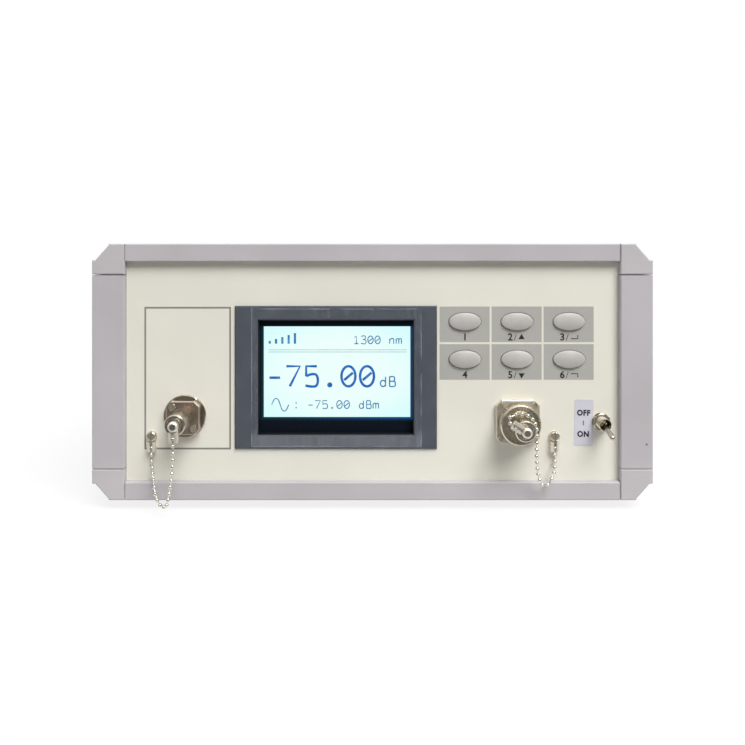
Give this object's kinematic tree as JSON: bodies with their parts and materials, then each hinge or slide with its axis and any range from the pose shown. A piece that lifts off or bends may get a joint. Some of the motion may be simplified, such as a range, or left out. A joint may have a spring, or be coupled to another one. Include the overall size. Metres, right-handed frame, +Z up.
{
  "type": "optical return loss meter",
  "caption": "Bench optical return loss meter in a framed metal case, with a display, oval keys, two capped optical ports on bead chains and a toggle power switch.",
  "frame": {"origin": "middle of the bounding box at the underside of the feet", "axes": "+X to the right seen from the front, +Y from the front to the rear, +Z up"},
  "size_m": [0.28, 0.274, 0.133],
  "materials": {
    "frame_paint": "grey paint",
    "cover_paint": "pale textured paint",
    "panel_paint": "cream paint",
    "rubber": "matt",
    "steel": "plated",
    "bezel_plastic": "satin",
    "lcd": "backlit display",
    "board": "circuit board",
    "key_plastic": "satin",
    "nickel": "nickel plate",
    "clasp_metal": "nickel plate",
    "chain_metal": "nickel plate",
    "black_plastic": "moulded",
    "zinc": "zinc plate",
    "heat_sink": "black anodised"
  },
  "bodies": {
    "case": {"front_top_bar": "frame_paint", "front_bottom_bar": "frame_paint", "front_left_bar": "frame_paint", "front_right_bar": "frame_paint", "rear_top_bar": "frame_paint", "rear_bottom_bar": "frame_paint", "rear_left_bar": "frame_paint", "rear_right_bar": "frame_paint", "front_corner_top_left": "frame_paint", "front_corner_top_right": "frame_paint", "front_corner_bottom_left": "frame_paint", "front_corner_bottom_right": "frame_paint", "rear_corners": "frame_paint", "top_cover": "cover_paint", "bottom_cover": "cover_paint", "left_side_panel": "cover_paint", "right_side_panel": "cover_paint", "front_panel": "panel_paint", "rear_panel": "panel_paint", "foot_1": "rubber", "foot_2": "rubber", "foot_3": "rubber", "foot_4": "rubber", "case_screws": "steel", "tie_rods": "steel", "laser_screws": "steel", "detector_screws": "steel", "anchor_screws": "steel", "display_bezel": "bezel_plastic", "lcd_glass": "lcd", "lcd_board": "board", "key_board": "board", "main_board": "board", "laser_disc": "nickel", "laser_receptacle": "nickel", "detector_flange": "nickel", "detector_adapter": "nickel", "switch_nut": "nickel", "laser_anchor_clasp": "clasp_metal", "detector_anchor_clasp": "clasp_metal", "laser_chain": "chain_metal", "detector_chain": "chain_metal", "switch_body": "black_plastic", "mains_inlet": "black_plastic", "fibre_coupler": "black_plastic", "serial_port": "zinc", "power_supply": "zinc", "detector_module": "zinc", "laser_source": "heat_sink"},
    "lever": {"switch_lever": "nickel"},
    "laser_tether": {"laser_cap_clasp": "clasp_metal"},
    "laser_cap_body": {"laser_cap": "nickel"},
    "detector_tether": {"detector_cap_clasp": "clasp_metal"},
    "detector_cap_body": {"detector_cap": "nickel"},
    "button_1": {"key_1": "key_plastic"},
    "button_2": {"key_2": "key_plastic"},
    "button_3": {"key_3": "key_plastic"},
    "button_4": {"key_4": "key_plastic"},
    "button_5": {"key_5": "key_plastic"},
    "button_6": {"key_6": "key_plastic"}
  },
  "joints": [
    {"name": "key_1_press", "type": "slide", "parent": "case", "child": "button_1", "axis": [0, 1, 0], "range_m": [0, 0.0012], "stiffness_N_per_m": 1200},
    {"name": "key_2_press", "type": "slide", "parent": "case", "child": "button_2", "axis": [0, 1, 0], "range_m": [0, 0.0012], "stiffness_N_per_m": 1200},
    {"name": "key_3_press", "type": "slide", "parent": "case", "child": "button_3", "axis": [0, 1, 0], "range_m": [0, 0.0012], "stiffness_N_per_m": 1200},
    {"name": "key_4_press", "type": "slide", "parent": "case", "child": "button_4", "axis": [0, 1, 0], "range_m": [0, 0.0012], "stiffness_N_per_m": 1200},
    {"name": "key_5_press", "type": "slide", "parent": "case", "child": "button_5", "axis": [0, 1, 0], "range_m": [0, 0.0012], "stiffness_N_per_m": 1200},
    {"name": "key_6_press", "type": "slide", "parent": "case", "child": "button_6", "axis": [0, 1, 0], "range_m": [0, 0.0012], "stiffness_N_per_m": 1200},
    {"name": "power_toggle", "type": "hinge", "parent": "case", "child": "lever", "pos_m": [0.1149, -0.1136, 0.0435], "axis": [-1, 0, 0], "range_deg": [0, 25]},
    {"name": "laser_cap_travel", "type": "slide", "parent": "case", "child": "laser_tether", "axis": [0, -1, 0], "range_m": [0, 0.006], "deforming": ["laser_chain"]},
    {"name": "laser_cap_unscrew", "type": "hinge", "parent": "laser_tether", "child": "laser_cap_body", "pos_m": [-0.0944, -0.109, 0.0463], "axis": [0, -1, 0], "range_deg": [0, 2880]},
    {"name": "detector_cap_travel", "type": "slide", "parent": "case", "child": "detector_tether", "axis": [0, -1, 0], "range_m": [0, 0.006], "deforming": ["detector_chain"]},
    {"name": "detector_cap_unscrew", "type": "hinge", "parent": "detector_tether", "child": "detector_cap_body", "pos_m": [0.0728, -0.109, 0.0438], "axis": [0, -1, 0], "range_deg": [0, 2880]}
  ],
  "couplings": [
    {"joint": "laser_cap_unscrew", "follows": "laser_cap_travel", "rad_per_m": 8377.6},
    {"joint": "detector_cap_unscrew", "follows": "detector_cap_travel", "rad_per_m": 8377.6}
  ]
}
